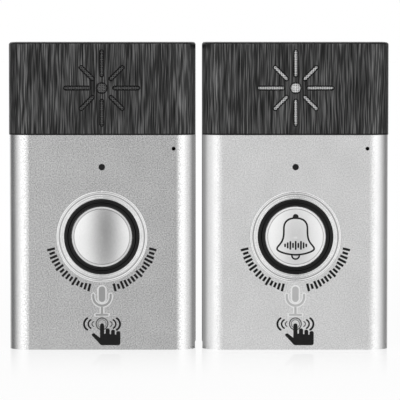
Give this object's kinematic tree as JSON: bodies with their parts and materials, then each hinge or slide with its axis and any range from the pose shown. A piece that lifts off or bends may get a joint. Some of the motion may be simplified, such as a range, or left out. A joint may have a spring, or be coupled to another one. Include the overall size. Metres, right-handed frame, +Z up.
{
  "type": "intercom doorbell",
  "caption": "Wireless intercom doorbell pair: upright outdoor and indoor talk units with silver front, black speaker cap, round press-to-talk button and a battery lid at the back.",
  "frame": {"origin": "middle of the pair's box, on the surface that it stands on", "axes": "+X across the pair towards the outdoor unit, the fronts face -Y, +Z up"},
  "size_m": [0.118, 0.0234, 0.0953],
  "materials": {
    "satin_aluminium": "satin anodised",
    "brushed_black": "brushed black",
    "mesh_light": "fine woven wire",
    "mesh_dark": "fine woven wire, blackened",
    "black_abs": "fine moulded grain",
    "polished_bezel": "polished",
    "gloss_black": "gloss",
    "brushed_button": "finely brushed",
    "black_rubber": "matt",
    "circuit_board": "solder mask",
    "radio_module": "tinned can",
    "plated_steel": "nickel plated",
    "led_body": "moulded",
    "smoked_lens": "smoked clear",
    "speaker_basket": "plain",
    "speaker_cone": "pressed paper",
    "ferrite": "sintered",
    "lead_insulation": "extruded",
    "cell_sleeve": "plain sleeve",
    "black_screws": "blackened"
  },
  "bodies": {
    "outdoor_case": {"outdoor_front_shell": "satin_aluminium", "outdoor_top_cap": "brushed_black", "outdoor_speaker_mesh": "mesh_light", "outdoor_front_frame": "black_abs", "outdoor_rear_case": "black_abs", "outdoor_bezel_ring": "polished_bezel", "outdoor_button_ring": "gloss_black", "outdoor_return_pad": "black_rubber", "outdoor_tact_switch": "black_abs", "outdoor_circuit_board": "circuit_board", "outdoor_radio_module": "radio_module", "outdoor_antenna": "plated_steel", "outdoor_status_led": "led_body", "outdoor_light_pipe": "smoked_lens", "outdoor_microphone": "plated_steel", "outdoor_mic_boot": "black_rubber", "outdoor_speaker_basket": "speaker_basket", "outdoor_speaker_cone": "speaker_cone", "outdoor_speaker_magnet": "ferrite", "outdoor_speaker_leads": "lead_insulation", "outdoor_battery_cells": "cell_sleeve", "outdoor_battery_contacts": "plated_steel", "outdoor_case_screws": "black_screws", "outdoor_board_screws": "plated_steel", "outdoor_lid_gasket": "black_rubber"},
    "outdoor_button": {"outdoor_button_cap": "brushed_button", "outdoor_switch_plunger": "black_abs"},
    "outdoor_lid": {"outdoor_battery_lid": "black_abs", "outdoor_lid_screws": "black_screws"},
    "indoor_case": {"indoor_front_shell": "satin_aluminium", "indoor_top_cap": "brushed_black", "indoor_speaker_mesh": "mesh_dark", "indoor_front_frame": "black_abs", "indoor_rear_case": "black_abs", "indoor_bezel_ring": "polished_bezel", "indoor_button_ring": "gloss_black", "indoor_return_pad": "black_rubber", "indoor_tact_switch": "black_abs", "indoor_circuit_board": "circuit_board", "indoor_radio_module": "radio_module", "indoor_antenna": "plated_steel", "indoor_status_led": "led_body", "indoor_light_pipe": "smoked_lens", "indoor_microphone": "plated_steel", "indoor_mic_boot": "black_rubber", "indoor_speaker_basket": "speaker_basket", "indoor_speaker_cone": "speaker_cone", "indoor_speaker_magnet": "ferrite", "indoor_speaker_leads": "lead_insulation", "indoor_battery_cells": "cell_sleeve", "indoor_battery_contacts": "plated_steel", "indoor_case_screws": "black_screws", "indoor_board_screws": "plated_steel", "indoor_power_switch": "black_abs", "indoor_charging_socket": "plated_steel"},
    "indoor_button": {"indoor_button_cap": "brushed_button", "indoor_switch_plunger": "black_abs"},
    "indoor_lid": {"indoor_battery_lid": "black_abs", "indoor_lid_screws": "black_screws"},
    "indoor_power_knob": {"indoor_power_knob": "black_abs"}
  },
  "joints": [
    {"name": "outdoor_button_press", "type": "slide", "parent": "outdoor_case", "child": "outdoor_button", "axis": [0, 1, 0], "range_m": [0, 0.0005], "stiffness_N_per_m": 4000, "deforming": ["outdoor_return_pad"]},
    {"name": "outdoor_lid_off", "type": "slide", "parent": "outdoor_case", "child": "outdoor_lid", "axis": [0, 1, 0], "range_m": [0, 0.02]},
    {"name": "indoor_button_press", "type": "slide", "parent": "indoor_case", "child": "indoor_button", "axis": [0, 1, 0], "range_m": [0, 0.0005], "stiffness_N_per_m": 4000, "deforming": ["indoor_return_pad"]},
    {"name": "indoor_lid_off", "type": "slide", "parent": "indoor_case", "child": "indoor_lid", "axis": [0, 1, 0], "range_m": [0, 0.02]},
    {"name": "indoor_power_slide", "type": "slide", "parent": "indoor_case", "child": "indoor_power_knob", "axis": [0, 0, 1], "range_m": [0, 0.002]},
    {"name": "indoor_unit_apart", "type": "slide", "parent": "outdoor_case", "child": "indoor_case", "axis": [-1, 0, 0], "range_m": [0, 0.1]}
  ]
}
